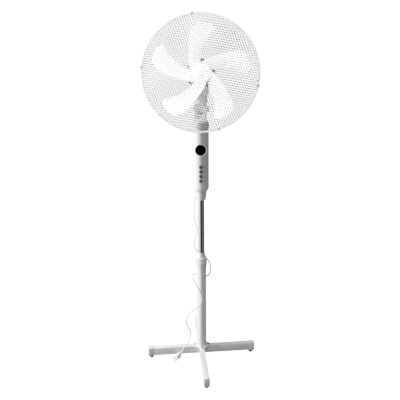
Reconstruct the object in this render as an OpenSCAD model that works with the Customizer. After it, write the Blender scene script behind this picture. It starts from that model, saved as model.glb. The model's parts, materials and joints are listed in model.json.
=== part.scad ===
// Pedestal fan: a cross base, a two-part pole with a grip ring, a round control
// column, a tilting and swinging head, and a five-bladed rotor inside mesh guards.
// Millimetres. The origin is on the floor under the pole, +Z is up, the fan faces -Y.

/* [Base] */
// Length of each leg bar over its end caps
base_span = 446; // [440:2:520]
// Turn of the cross about the pole, seen from above
base_turn = 5; // [0:0.5:10]
// Width of a leg bar
bar_w = 20; // [18:1:24]
// Height of a leg bar
bar_h = 30; // [26:1:34]
// Height of a foot under the end cap
foot_h = 10; // [8:1:14]
// Half diagonal of the square flange
flange_half = 40; // [38:1:44]

/* [Pole] */
// Outside diameter of the outer tube
outer_d = 40; // [38:1:44]
// Outside diameter of the inner tube
inner_d = 26; // [24:1:26]
// Height of the outer tube's top edge
outer_top = 400; // [380:5:420]

/* [Column] */
// Diameter of the control column
column_d = 64; // [60:1:70]
// Height of the seam between the column and its lower cone
column_bottom = 706; // [700:1:712]
// Height of the column's top edge
column_top = 984; // [976:1:1004]
// Diameter of the dark display window
window_d = 42; // [36:1:44]
// Height of the window's centre
window_z = 877; // [870:1:890]
// Diameter of a button
button_d = 14; // [12:0.5:15]
// Height of the top button's centre
button_z = 809; // [805:1:815]
// Distance from one button to the next
button_pitch = 18.4; // [17:0.1:19]

/* [Head] */
// Height of the tilt bolt
tilt_z = 1035; // [1033:1:1037]
// Height of the motor shaft
head_z = 1171; // [1170:1:1174]
// Outside diameter of the guard rim
guard_d = 430; // [420:2:434]
// Diameter swept by the blades
blade_d = 368; // [350:2:372]

/* [Cord] */
// Diameter of the mains lead
cord_d = 5; // [4.5:0.5:6]

/* [Hidden] */
$fn = 48;

// base
bar_wall = 1.5;
cap_wall = 1;
cap_len = 22;
bar_z = foot_h + cap_wall;
bar_top = bar_z + bar_h;
tube_half = base_span / 2 - 2.5;
foot_r = 8;
foot_x = base_span / 2 - 14;
lap_gap = 0.1;
flange_t = 3;
flange_top = bar_top + flange_t;
flange_corner_r = flange_half - 2;
screw_x = 29;
screw_r = 2.5;
boss_h = 14;

// pole
outer_r = outer_d / 2;
outer_wall = 1.5;
inner_r = inner_d / 2;
inner_wall = 1.2;
inner_bottom = outer_top - 138;
inner_end = column_bottom + 34;
slide_fit = 0.06;
sleeve_drop = 17;
sleeve_r = outer_r + 2.4;
spigot_r = 18.8;
spigot_top = outer_top + 27;
spigot_bore = 16.2;
ring_z = outer_top + 3.2;
ring_grip_h = 27;
ring_r = 22.2;
ring_top = outer_top + 49;
ring_ribs = 22;
ring_rib_r = 1.1;

// column
column_r = column_d / 2;
column_wall = 2.4;
bevel_h = 13;
bevel_r = 23.6;
cone_bottom = column_bottom - 34;
cone_r = 19.6;
seam = 0.15;
button_count = 4;
button_r = button_d / 2;
window_r = window_d / 2;
bezel_r = window_r + 3;
bezel_face = column_r + 1.6;
case_screw_x = 20;
case_screw_z = [760, 950];

// tilt and swing
ear_r = 18;
ear_in = 11;
ear_out = 24;
tongue_half = ear_in - 0.3;
web_gap = 0.5;
bolt_r = 3;
knob_out = 33.5;
platform_z = 1085;
platform_r = 27;
pin_r = 6;
stud_x = -16;
stud_r = 3;
link_z = 1090;
link_t = 3;
crank_x = -13;
crank_y = 50;
crank_arm = 9.2;
crank_z = 1095.5;
foot_boss_r = 7.5;

// motor, measured forwards from the pole's axis: back is negative
motor_r = 50;
motor_wall = 3;
motor_back = -52;
motor_split = -10;
motor_front = 28;
shaft_r = 4;
shaft_front = 108;
shaft_back = -47;
bush_r = 8;
bush_len = 10;
neck_r = 20;
guard_seat = 40;
cover_r = 57;
cover_wall = 2.4;
cover_back = -72;
cover_front = 30;
skirt_half = 31;
skirt_z = 1087.5;

// guards
mesh_t = 0.5;
rim_r = guard_d / 2;
mesh_r = rim_r - 2;
rim_back = 98;
rim_front = 126;
front_ring_r = rim_r - 7;
dome_h = 24;
rear_flat_r = 60;
rear_seat = guard_seat + 0.1;
clip_angles = [98, 174, 288, 348];

// rotor
blade_count = 5;
hub_r = 40;
hub_back = 72;
hub_front = 104;
blade_r = blade_d / 2;
blade_root = hub_r - 5;
blade_t = 2;
blade_sweep = 24;
blade_start = 108;
blade_span = [35, 29];
root_flare = 40;
tip_corner = 14;

// Where the lead leaves the column, and its way down the pole and along the floor
grip_start = [-14.5, 13, 703];
grip_dir = [-0.3, 0.12, -0.95];
grip_len = 24;
route_upper = [
    [-24, 17, 665], [-26, 14, 646], [-24, 12, 625], [-26, 11, 604], [-25, 11, 583],
    [-20, 12, 562], [-17, 13, 540], [-21, 13, 518], [-26, 14, 496], [-27, 18, 474],
    [-23, 24, 454]];
route_lower = [
    [-13, 30, 438], [3, 33, 425], [19, 29, 414], [32, 19, 402],
    [38, 9, 386], [37, 4, 367], [31, 9, 349], [19, 19, 337], [3, 26, 332], [-14, 27, 337],
    [-27, 20, 346], [-35, 5, 351], [-36, -10, 347], [-28, -22, 334], [-16, -29, 315],
    [-5, -31, 294], [2, -32, 270], [-1, -33, 247], [-14, -32, 229], [-32, -29, 213],
    [-49, -25, 195], [-60, -20, 173], [-62, -13, 150], [-57, -5, 128], [-50, 3, 108],
    [-46, 9, 87], [-48, 9, 67], [-54, 1, 53], [-61, -9, 47], [-69, -18, 43.5],
    [-77, -26, 36], [-83, -32, 28]];
tie_ring = 2 * len(route_upper);
plug_at = route_lower[len(route_lower) - 1];
plug_turn = 219;
plug_slope = 30;
blade_gap = 12.7;
cord_sides = 8;

function numbered(stem, count) = [for (i = [1:count]) str(stem, "_", i)];

// ---- helpers ----

// Local Z runs forwards (-Y) along the motor shaft
module on_shaft() {
    translate([0, 0, head_z]) rotate([90, 0, 0]) children();
}

// Local Z runs forwards (-Y) out of the column at height z
module out_of_column(z, x = 0) {
    translate([x, 0, z]) rotate([90, 0, 0]) children();
}

module ring(r_out, r_in, low, high) {
    translate([0, 0, low]) difference() {
        cylinder(r = r_out, h = high - low);
        translate([0, 0, -1]) cylinder(r = r_in, h = high - low + 2);
    }
}

module rod(r, low, high) {
    translate([0, 0, low]) cylinder(r = r, h = high - low);
}

function unit(v) = v / norm(v);

// A point on the smooth curve through four route points, at share t of the middle stretch
function curve(a, b, c, d, t) =
    0.5 * (2 * b + (c - a) * t + (2 * a - 5 * b + 4 * c - d) * t * t
        + (3 * b - a - 3 * c + d) * t * t * t);

function route_at(p, i, t) =
    curve(p[max(i - 1, 0)], p[i], p[i + 1], p[min(i + 2, len(p) - 1)], t);

// Two rings to a stretch of the route
function smooth_route(p) = concat(
    [for (i = [0:len(p) - 2], t = [0, 0.5]) route_at(p, i, t)], [p[len(p) - 1]]);

function heading(p, i) = unit(p[min(i + 1, len(p) - 1)] - p[max(i - 1, 0)]);

// A side direction carried along the path, so that the tube does not twist
function carried(p, i) =
    let (h = heading(p, i), s = i == 0 ? [0, 1, 0.1] : carried(p, i - 1))
    unit(s - (s * h) * h);

// The lead between two rings of the path. Stretches that share a ring meet face to face
module cord_tube(p, from, to) {
    n = to - from + 1;
    points = [for (i = [from:to])
        let (h = heading(p, i), s = carried(p, i), c = cross(h, s))
        for (k = [0:cord_sides - 1])
            let (a = 360 * k / cord_sides)
            p[i] + cord_d / 2 * (cos(a) * s + sin(a) * c)];
    walls = [for (i = [0:n - 2], k = [0:cord_sides - 1])
        let (a = i * cord_sides + k, b = i * cord_sides + (k + 1) % cord_sides)
        each [[a, b + cord_sides, b], [a, a + cord_sides, b + cord_sides]]];
    first = [for (k = [0:cord_sides - 1]) k];
    last = [for (k = [cord_sides - 1:-1:0]) (n - 1) * cord_sides + k];
    polyhedron(points, concat(walls, [first, last]));
}

// ---- base ----

module bar_tube() {
    difference() {
        translate([-tube_half, -bar_w / 2, bar_z]) cube([2 * tube_half, bar_w, bar_h]);
        translate([-tube_half - 1, -bar_w / 2 + bar_wall, bar_z + bar_wall])
            cube([2 * tube_half + 2, bar_w - 2 * bar_wall, bar_h - 2 * bar_wall]);
        for (x = [-screw_x, screw_x])
            translate([x, 0, bar_top - 5]) cylinder(r = screw_r + 0.05, h = 6);
    }
}

// The half of the bar's height that the crossing bar takes
module lap(z) {
    width = bar_w + 2 * lap_gap;
    translate([-width / 2, -bar_w, z]) cube([width, 2 * bar_w, bar_h / 2 + 1]);
}

module leg_bar_long() {
    color("white") rotate(base_turn) difference() {
        bar_tube();
        lap(bar_z + bar_h / 2 - lap_gap);
    }
}

module leg_bar_cross() {
    color("white") rotate(base_turn + 90) difference() {
        bar_tube();
        lap(bar_z - 1);
    }
}

module end_cap(i) {
    cap_w = bar_w + 2 * cap_wall;
    cap_h = bar_h + 2 * cap_wall;
    color("gainsboro") rotate(base_turn + 90 * (i - 1)) difference() {
        translate([base_span / 2 - cap_len, -cap_w / 2, bar_z - cap_wall])
            cube([cap_len, cap_w, cap_h]);
        translate([0, -bar_w / 2, bar_z]) cube([tube_half, bar_w, bar_h]);
    }
}

module foot(i) {
    color("gray") rotate(base_turn + 90 * (i - 1)) translate([foot_x, 0, 0])
        cylinder(r1 = foot_r, r2 = foot_r + 1.5, h = foot_h);
}

module base_flange() {
    color("white") rotate(base_turn) difference() {
        union() {
            translate([0, 0, bar_top]) linear_extrude(flange_t) intersection() {
                rotate(45) square(flange_half * sqrt(2), center = true);
                circle(flange_corner_r);
            }
            rod(outer_r - outer_wall - slide_fit, flange_top - 1, flange_top + boss_h);
        }
        rod(outer_r - 5, bar_top - 1, flange_top + boss_h + 1);
        for (a = [0:90:270])
            rotate(a) translate([screw_x, 0, bar_top - 1])
                cylinder(r = screw_r + 0.05, h = flange_t + 2);
    }
}

module flange_screws() {
    color("silver") for (a = [0:90:270])
        rotate(base_turn + a) translate([screw_x, 0, 0]) difference() {
            union() {
                rod(screw_r, bar_top - 8, flange_top + 1);
                translate([0, 0, flange_top]) cylinder(r1 = 4.6, r2 = 3.4, h = 3);
            }
            translate([-3, -0.5, flange_top + 2]) cube([6, 1, 2]);
            translate([-0.5, -3, flange_top + 2]) cube([1, 6, 2]);
        }
}

// ---- pole ----

module outer_tube() {
    color("white") ring(outer_r, outer_r - outer_wall, flange_top, outer_top);
}

module collar_sleeve() {
    low = outer_top - sleeve_drop;
    color("white") rotate_extrude() polygon([
        [outer_r + 0.8, low], [sleeve_r, outer_top + 2.9], [spigot_r, outer_top + 2.9],
        [spigot_r, spigot_top], [spigot_bore, spigot_top], [spigot_bore, outer_top],
        [outer_r, outer_top], [outer_r, low]]);
}

module collet() {
    low = outer_top + 0.2;
    color("gainsboro") difference() {
        ring(spigot_bore - 0.05, inner_r + slide_fit, low, spigot_top + 1.5);
        for (a = [0:45:135])
            rotate(a) translate([-outer_r, -0.6, low + 8]) cube([2 * outer_r, 1.2, 30]);
    }
}

module height_ring() {
    grip_top = ring_z + ring_grip_h;
    color("white") union() {
        rotate_extrude() polygon([
            [spigot_r + slide_fit, ring_z], [ring_r - 1, ring_z], [ring_r, ring_z + 1.5],
            [ring_r, grip_top - 2], [ring_r - 2, grip_top], [17.5, grip_top + 1],
            [15.4, ring_top], [inner_r + 0.4, ring_top], [inner_r + 0.4, ring_top - 10],
            [spigot_bore + 0.4, grip_top + 1.5], [spigot_bore + 0.4, spigot_top + 0.4],
            [spigot_r + slide_fit, spigot_top + 0.4]]);
        for (a = [0:360 / ring_ribs:359])
            rotate(a) translate([ring_r, 0, 0])
                rod(ring_rib_r, ring_z + 2.5, grip_top - 4);
    }
}

module inner_tube() {
    color("silver") ring(inner_r, inner_r - inner_wall, inner_bottom, inner_end);
}

module tube_end_bush() {
    color("dimgray")
        ring(outer_r - outer_wall - slide_fit, inner_r, inner_bottom, inner_bottom + 34);
}

// ---- column ----

module grip_axis() {
    tip = unit(grip_dir);
    translate(grip_start) rotate([0, acos(tip[2]), atan2(tip[1], tip[0])]) children();
}

module column_lower_cone() {
    color("white") difference() {
        rotate_extrude() polygon([
            [inner_r, cone_bottom], [cone_r - 1.2, cone_bottom], [cone_r, cone_bottom + 2],
            [bevel_r, column_bottom - seam], [bevel_r - 4, column_bottom - seam],
            [bevel_r - 4, inner_end - 2], [inner_r, inner_end - 2]]);
        grip_axis() rod(3.6, -20, 40);
        out_of_column(column_bottom + 20) rod(1.6, -40, 0);
    }
}

module case_shell() {
    rotate_extrude() polygon([
        [bevel_r - 4 + seam, column_bottom], [bevel_r, column_bottom],
        [column_r, column_bottom + bevel_h], [column_r, column_top - 1.5],
        [column_r - 1.5, column_top], [column_r - column_wall, column_top],
        [column_r - column_wall, column_bottom + bevel_h + 2],
        [bevel_r - 4 + seam, column_bottom + 4]]);
}

// side is -1 for the front shell's half of the column and 1 for the rear shell's
module case_half(side) {
    intersection() {
        union() {
            case_shell();
            for (z = case_screw_z, x = [-case_screw_x, case_screw_x])
                out_of_column(z, x) rod(3.6, -21, 21);
        }
        translate([-column_d, side > 0 ? seam / 2 : -column_d, column_bottom - 5])
            cube([2 * column_d, column_d - seam / 2, column_top]);
    }
}

module column_front_shell() {
    color("white") difference() {
        case_half(-1);
        out_of_column(window_z) rod(bezel_r + 0.05, 0, column_d);
        for (i = [0:button_count - 1])
            out_of_column(button_z - i * button_pitch) rod(button_r + 0.35, 0, column_d);
        for (z = case_screw_z, x = [-case_screw_x, case_screw_x])
            out_of_column(z, x) rod(1.55, -1, 12);
    }
}

module column_rear_shell() {
    color("white") difference() {
        case_half(1);
        for (z = case_screw_z, x = [-case_screw_x, case_screw_x])
            out_of_column(z, x) {
                rod(1.8, -30, 1);
                rod(3, -40, -14);
            }
    }
}

module column_screws() {
    color("silver") for (z = case_screw_z, x = [-case_screw_x, case_screw_x])
        out_of_column(z, x) union() {
            rod(1.5, -14.5, 9);
            rod(2.8, -17, -14);
        }
}

module display_bezel() {
    color("whitesmoke") out_of_column(window_z) rotate_extrude() polygon([
        [window_r, 25], [bezel_r, 22.5], [bezel_r, bezel_face - 1], [bezel_r - 1, bezel_face],
        [window_r + 0.6, bezel_face], [window_r, bezel_face - 0.6]]);
}

module display_window() {
    color("black") out_of_column(window_z) rod(window_r - 0.05, bezel_face - 3.2, bezel_face - 0.9);
}

module control_board() {
    board_low = button_z - 3 * button_pitch - 12;
    color("darkgreen") union() {
        translate([-15, -20, board_low]) cube([30, 1.6, window_z + 24 - board_low]);
        for (i = [0:button_count - 1])
            out_of_column(button_z - i * button_pitch) rod(3, 19, 24.4);
        out_of_column(window_z) rod(window_r - 3, 19, bezel_face - 3.3);
    }
}

module run_capacitor() {
    color("gray") translate([-14, -6, 840]) cube([28, 18, 38]);
}

module button(i) {
    color("dimgray") out_of_column(button_z - (i - 1) * button_pitch) rotate_extrude() polygon([
        [0, 26.2], [2.5, 26.2], [2.5, 26.8], [button_r + 1, 26.8], [button_r + 1, 27.9],
        [button_r, 27.9], [button_r, column_r + 1.6], [button_r - 0.8, column_r + 2.4],
        [0, column_r + 2.6]]);
}

// ---- mains lead ----

module cord_grip() {
    color("white") grip_axis() union() {
        rod(3.5, -2, 7);
        translate([0, 0, 7]) cylinder(r1 = 3.5, r2 = cord_d / 2 + 0.4, h = grip_len - 7);
    }
}

function lead_path() = smooth_route(
    concat([grip_start + unit(grip_dir) * grip_len], route_upper, route_lower));

module cord_upper() {
    color("white") cord_tube(lead_path(), 0, tie_ring);
}

module cord_lower() {
    path = lead_path();
    color("white") cord_tube(path, tie_ring, len(path) - 1);
}

// Local Z runs from the lead to the plug's tip, local X towards the floor
module plug_place() {
    translate(plug_at) rotate([0, 90 + plug_slope, plug_turn]) children();
}

module plug_body() {
    color("white") plug_place() difference() {
        hull() {
            rod(cord_d / 2 + 0.8, 0, 1);
            translate([-6, -4.5, 10]) cube([12, 9, 1]);
            translate([-10, -6, 17]) cube([20, 12, 11]);
        }
        for (x = [-blade_gap / 2, blade_gap / 2])
            translate([x - 0.8, -3.2, 20]) cube([1.6, 6.4, 9]);
    }
}

module plug_blades() {
    color("silver") plug_place() for (x = [-blade_gap / 2, blade_gap / 2])
        translate([x - 0.75, -3.15, 20.1]) cube([1.5, 6.3, 23]);
}

// ---- tilt joint and neck ----

module tilt_yoke() {
    color("white") difference() {
        union() {
            rotate_extrude() polygon([
                [0, column_top - 8], [column_r - column_wall - 0.05, column_top - 8],
                [column_r - column_wall - 0.05, column_top + 0.1],
                [column_r - 1.5, column_top + 0.1], [column_r - 5, column_top + 6], [0, column_top + 8]]);
            translate([-ear_in - 1, -ear_r, column_top + 1])
                cube([2 * ear_in + 2, 2 * ear_r, tilt_z - ear_r - web_gap - column_top - 1]);
            for (s = [-1, 1]) translate([s > 0 ? ear_in : -ear_out, 0, 0]) {
                translate([0, 0, tilt_z]) rotate([0, 90, 0]) rod(ear_r, 0, ear_out - ear_in);
                translate([0, -ear_r, column_top + 1])
                    cube([ear_out - ear_in, 2 * ear_r, tilt_z - column_top - 1]);
            }
        }
        translate([0, 0, tilt_z]) rotate([0, 90, 0]) rod(bolt_r + 0.02, -30, 30);
    }
}

module tilt_bolt() {
    color("silver") translate([0, 0, tilt_z]) rotate([0, 90, 0]) union() {
        rod(bolt_r, -ear_out, knob_out - 4);
        translate([0, 0, -ear_out - 4]) cylinder(r = 6, h = 4, $fn = 6);
    }
}

module tilt_knob() {
    lobes = 5;
    color("white") translate([0, 0, tilt_z]) rotate([0, 90, 0]) difference() {
        union() {
            rod(9.5, ear_out + 0.4, knob_out);
            for (a = [0:360 / lobes:359]) rotate(a) translate([8.5, 0, 0])
                rod(3.6, ear_out + 3, knob_out - 0.5);
        }
        rod(bolt_r + slide_fit, ear_out, knob_out - 3.5);
    }
}

module neck_bracket() {
    stem_low = tilt_z + ear_r + 3;
    color("white") difference() {
        union() {
            translate([0, 0, tilt_z]) rotate([0, 90, 0]) rod(ear_r - 1, -tongue_half, tongue_half);
            translate([-tongue_half, -ear_r + 1, tilt_z])
                cube([2 * tongue_half, 2 * ear_r - 2, stem_low - tilt_z + 1]);
            rotate_extrude() polygon([
                [0, stem_low], [platform_r - 4, stem_low], [platform_r - 1, stem_low + 3],
                [platform_r, platform_z - 6], [platform_r, platform_z - 0.5], [0, platform_z - 0.5]]);
            translate([0, 0, platform_z - 1]) rod(9, 0, 1);
            translate([stud_x, 0, platform_z - 1]) {
                rod(stud_r + 1.5, 0, link_z - platform_z + 0.9);
                rod(stud_r, 0, link_z - platform_z + link_t + 1.4);
            }
        }
        rod(pin_r + 0.05, tilt_z + 24, platform_z + 1);
        translate([0, 0, tilt_z]) rotate([0, 90, 0]) rod(bolt_r + slide_fit, -20, 20);
        out_of_column(platform_z - 12) rod(2.05, -30, 0);
    }
}

// Its tip sits in the groove of the swivel pin and keeps the head on the neck
module swivel_screw() {
    color("silver") out_of_column(platform_z - 12) rod(2, -26, -5.4);
}

module swing_link() {
    eye_r = 5;
    reach = [crank_x - crank_arm - stud_x, crank_y];
    color("silver") translate([stud_x, 0, link_z]) rotate(atan2(reach[1], reach[0])) difference() {
        union() {
            cylinder(r = eye_r, h = link_t);
            translate([norm(reach), 0, 0]) cylinder(r = eye_r, h = link_t);
            translate([0, 1 - eye_r, 0]) cube([norm(reach), 2 * eye_r - 2, link_t]);
        }
        rod(stud_r + slide_fit, -1, link_t + 1);
        translate([norm(reach), 0, 0]) rod(2.6, -1, link_t + 1);
    }
}

// ---- motor unit ----

module motor_foot() {
    saddle_z = 1112;
    groove_z = platform_z - 12;
    color("darkgray") difference() {
        union() {
            rod(pin_r, tilt_z + 25, platform_z + 2);
            rod(foot_boss_r, platform_z + 0.3, saddle_z + 10);
            translate([-18, -16, saddle_z]) cube([36, 34, head_z - motor_r + 8 - saddle_z]);
        }
        on_shaft() rod(motor_r, -60, 60);
        ring(pin_r + 5, pin_r - 1, groove_z - 2.5, groove_z + 2.5);
    }
}

// One cup of the motor case: wall from low to high, closed at the end named by close_low
module motor_cup(low, high, close_low) {
    face = close_low ? low : high - motor_wall;
    inner = close_low ? low + motor_wall : low - 1;
    difference() {
        rod(motor_r, low, high);
        rod(motor_r - motor_wall, inner, inner + high - low - motor_wall + 1);
        rod(bush_r, face - 1, face + motor_wall + 1);
        for (a = [30:60:330]) rotate(a) translate([34, 0, face - 1]) cylinder(r = 5, h = motor_wall + 2);
    }
}

module motor_front_shield() {
    color("silver") on_shaft() union() {
        motor_cup(motor_split + 0.05, motor_front, false);
        ring(bush_r + 4, bush_r, motor_front - bush_len, motor_front - motor_wall);
        ring(neck_r, neck_r - 5, motor_front, guard_seat + 9);
        ring(neck_r + 12, neck_r - 5, guard_seat - 3.5, guard_seat);
    }
}

module motor_rear_shield() {
    color("silver") on_shaft() union() {
        motor_cup(motor_back, motor_split - 0.05, true);
        ring(bush_r + 4, bush_r, motor_back + motor_wall, motor_back + bush_len);
    }
}

module stator_core() {
    color("dimgray") on_shaft() difference() {
        rod(motor_r - motor_wall, -22, 4);
        rod(24, -23, 5);
    }
}

module stator_windings() {
    color("chocolate") on_shaft() {
        ring(41, 27, -36, -22);
        ring(41, 27, 4, 16);
    }
}

module front_bearing() {
    color("goldenrod") on_shaft()
        ring(bush_r, shaft_r + 0.04, motor_front - bush_len, motor_front);
}

module rear_bearing() {
    color("goldenrod") on_shaft()
        ring(bush_r, shaft_r + 0.04, motor_back + 1, motor_back + 1 + bush_len);
}

// The outline of the skirt that hangs under the motor round the swing gear
module skirt_outline(inset) {
    corner = 12;
    low_y = -cover_front + corner;
    high_y = -cover_back - corner - 2;
    for (x = [-skirt_half + corner, skirt_half - corner], y = [low_y, high_y])
        translate([x, y]) circle(corner - inset);
    translate([-skirt_half + inset, low_y]) square([2 * (skirt_half - inset), high_y - low_y]);
    translate([-skirt_half + corner, low_y - corner + inset])
        square([2 * (skirt_half - corner), high_y - low_y + 2 * (corner - inset)]);
}

module cover_body(inset) {
    r = cover_r - inset;
    back = cover_back + inset;
    on_shaft() rotate_extrude() polygon(concat(
        [[0, cover_front + inset], [r, cover_front + inset]],
        [for (a = [0:10:90]) [r - 22 + 22 * cos(a), back + 22 - 22 * sin(a)]],
        [[0, back]]));
    translate([0, 0, skirt_z - inset]) linear_extrude(head_z - skirt_z) skirt_outline(inset);
}

module motor_rear_cover() {
    color("white") difference() {
        union() cover_body(0);
        union() cover_body(cover_wall);
        on_shaft() rod(motor_r + 2, 0, 40);
        for (z = [-24:8:24]) translate([-20, -cover_back - 12, head_z + z]) cube([40, 20, 3]);
    }
}

module swing_motor() {
    color("silver") union() {
        translate([-7.5, crank_y, 0]) rod(17.5, crank_z + 4.5, 1117);
        translate([crank_x, crank_y, 0]) rod(3, crank_z + 3.2, crank_z + 5);
    }
}

// The crank pin stops above the link: the ring of links is open there
module swing_crank() {
    color("gray") union() {
        translate([crank_x, crank_y, 0]) rod(12, crank_z, crank_z + 3);
        translate([crank_x - crank_arm, crank_y, 0]) rod(2.5, link_z + link_t + 0.5, crank_z + 0.5);
    }
}

// ---- guards ----

// How far forward the rear guard's wire basket is at radius r
function rear_mesh(r) = r < rear_flat_r ? rear_seat
    : rear_seat + (rim_back - 0.1 - mesh_t - rear_seat)
        * (1 - sqrt(1 - pow((r - rear_flat_r) / (mesh_r - rear_flat_r), 2)));

function front_mesh(r) = rim_front - 4 + dome_h * (1 - pow(r / mesh_r, 2));

function rear_radii() = concat([neck_r + 0.1, rear_flat_r], [for (a = [15:15:90])
    rear_flat_r + (mesh_r - rear_flat_r) * sin(a)]);

module rear_guard_mesh() {
    radii = rear_radii();
    last = len(radii) - 1;
    color("white") on_shaft() rotate_extrude($fn = 96) polygon(concat(
        [for (i = [0:last]) [radii[i], rear_mesh(radii[i])]],
        [for (i = [last:-1:0]) [radii[i] - (i == last ? mesh_t : 0), rear_mesh(radii[i]) + mesh_t]]));
}

module front_guard_mesh() {
    radii = [for (i = [0:8]) mesh_r * i / 8];
    color("white") on_shaft() rotate_extrude($fn = 96) polygon(concat(
        [for (r = radii) [r, front_mesh(r)]],
        [for (i = [8:-1:0]) [radii[i], front_mesh(radii[i]) + mesh_t]]));
}

module guard_nut() {
    color("white") on_shaft() difference() {
        union() {
            ring(neck_r + 9, neck_r, guard_seat + 0.7, guard_seat + 7);
            for (a = [0:30:330]) rotate(a) translate([neck_r + 9, 0, 0])
                rod(1.8, guard_seat + 0.7, guard_seat + 6);
        }
        rod(neck_r + 0.05, 0, 60);
    }
}

module guard_rim() {
    color("white") on_shaft() rotate_extrude($fn = 96) polygon([
        [rim_r - 4, rim_back], [rim_r - 1, rim_back], [rim_r, rim_back + 1.5],
        [rim_r, rim_front - 2], [rim_r - 2, rim_front], [front_ring_r, rim_front],
        [front_ring_r, rim_front - 1.5], [mesh_r + 0.1, rim_front - 1.8],
        [mesh_r + 0.1, rim_back + 1.6], [rim_r - 4, rim_back + 1.2]]);
}

module guard_clips() {
    color("white") on_shaft() for (a = clip_angles)
        rotate(a) difference() {
            translate([front_ring_r - 0.5, -4.5, rim_back - 2])
                cube([rim_r + 2.2 - front_ring_r, 9, rim_front - rim_back + 4]);
            translate([front_ring_r - 1, -5.5, rim_back - 0.05])
                cube([rim_r + 1.05 - front_ring_r, 11, rim_front - rim_back + 0.1]);
            rotate(-a) rod(mesh_r + 0.3, rim_back - 3, rim_back);
        }
}

// ---- rotor ----

module motor_shaft() {
    color("silver") on_shaft() rod(shaft_r, shaft_back, shaft_front);
}

module rotor_core() {
    color("gray") on_shaft() ring(23.6, shaft_r, -22, 4);
}

// Station s runs from 0 at the hub to 1 at the tip, t from 0 to 1 across the blade
function blade_radius(s) = blade_root + (blade_r - blade_root) * s;

function blade_angle(s, t) = blade_start - blade_sweep * s
    + (0.5 - t) * (blade_span[0] + (blade_span[1] - blade_span[0]) * s)
    + (1 - t) * root_flare * pow(1 - s, 6);

function blade_point(s, t, side) =
    let (a = blade_angle(s, t),
         r = blade_radius(s) - tip_corner * pow(abs(2 * t - 1), 5) * pow(s, 6),
         pitch = 26 - 12 * s, belly = 4 * sin(180 * t) * (1 - 0.5 * s))
    [r * cos(a), r * sin(a),
     (hub_back + hub_front) / 2 + (0.5 - t) * pitch + belly + side * blade_t / 2];

module blade() {
    stations = 10;
    across = 8;
    loop = 2 * (across + 1);
    points = [for (i = [0:stations]) let (s = i / stations) each concat(
        [for (k = [0:across]) blade_point(s, k / across, 1)],
        [for (k = [across:-1:0]) blade_point(s, k / across, -1)])];
    skin = [for (i = [0:stations - 1], k = [0:loop - 1])
        let (a = i * loop + k, b = i * loop + (k + 1) % loop)
        each [[a, b + loop, b], [a, a + loop, b + loop]]];
    ends = [for (e = [0, stations], k = [0:across - 1])
        let (a = e * loop + k, b = e * loop + loop - 1 - k)
        each e == 0 ? [[a, b - 1, b], [a, a + 1, b - 1]] : [[a, b, b - 1], [a, b - 1, a + 1]]];
    polyhedron(points, concat(skin, ends));
}

module fan_blade() {
    color("white") on_shaft() difference() {
        union() {
            difference() {
                rotate_extrude() polygon([
                    [0, hub_back], [hub_r, hub_back], [hub_r, hub_front - 8],
                    [hub_r - 3, hub_front - 3], [hub_r - 12, hub_front], [0, hub_front]]);
                difference() {
                    rod(hub_r - 2.5, hub_back - 1, hub_front - 4);
                    rod(9, hub_back - 2, hub_front);
                }
            }
            for (i = [0:blade_count - 1]) rotate(360 * i / blade_count) difference() {
                blade();
                rod(hub_r - 2, 0, 200);
            }
        }
        rod(shaft_r, hub_back - 2, hub_front + 2);
    }
}

module blade_nut() {
    color("whitesmoke") on_shaft() difference() {
        union() {
            rod(9, hub_front, hub_front + 5);
            translate([0, 0, hub_front + 5]) cylinder(r1 = 9, r2 = 6, h = 4);
            for (a = [0:60:300]) rotate(a) translate([9.5, 0, hub_front]) cylinder(r = 2, h = 5);
        }
        rod(shaft_r, hub_front - 1, shaft_front);
    }
}

leg_bar_long();
leg_bar_cross();
for (i = [1:4]) end_cap(i);
for (i = [1:4]) foot(i);
base_flange();
flange_screws();
outer_tube();
collar_sleeve();
collet();
height_ring();
inner_tube();
tube_end_bush();
column_lower_cone();
column_front_shell();
column_rear_shell();
column_screws();
display_bezel();
display_window();
control_board();
run_capacitor();
for (i = [1:button_count]) button(i);
cord_grip();
cord_upper();
cord_lower();
plug_body();
plug_blades();
tilt_yoke();
tilt_bolt();
tilt_knob();
neck_bracket();
swivel_screw();
swing_link();
motor_foot();
motor_front_shield();
motor_rear_shield();
stator_core();
stator_windings();
front_bearing();
rear_bearing();
motor_rear_cover();
swing_motor();
swing_crank();
rear_guard_mesh();
guard_nut();
guard_rim();
guard_clips();
front_guard_mesh();
motor_shaft();
rotor_core();
fan_blade();
blade_nut();
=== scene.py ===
# %% [markdown]
# # A pedestal fan, dressed for a studio picture
# The CAD model holds the fan's sizes, joints and inner parts. This lesson keeps that
# frame as it is and gives every part the finish of the real one: coated steel tube,
# moulded ABS, chrome, woven wire. Everything is in metres, +Z is up, the fan faces -Y.

# %% Load the frame
import json
import math

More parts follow.
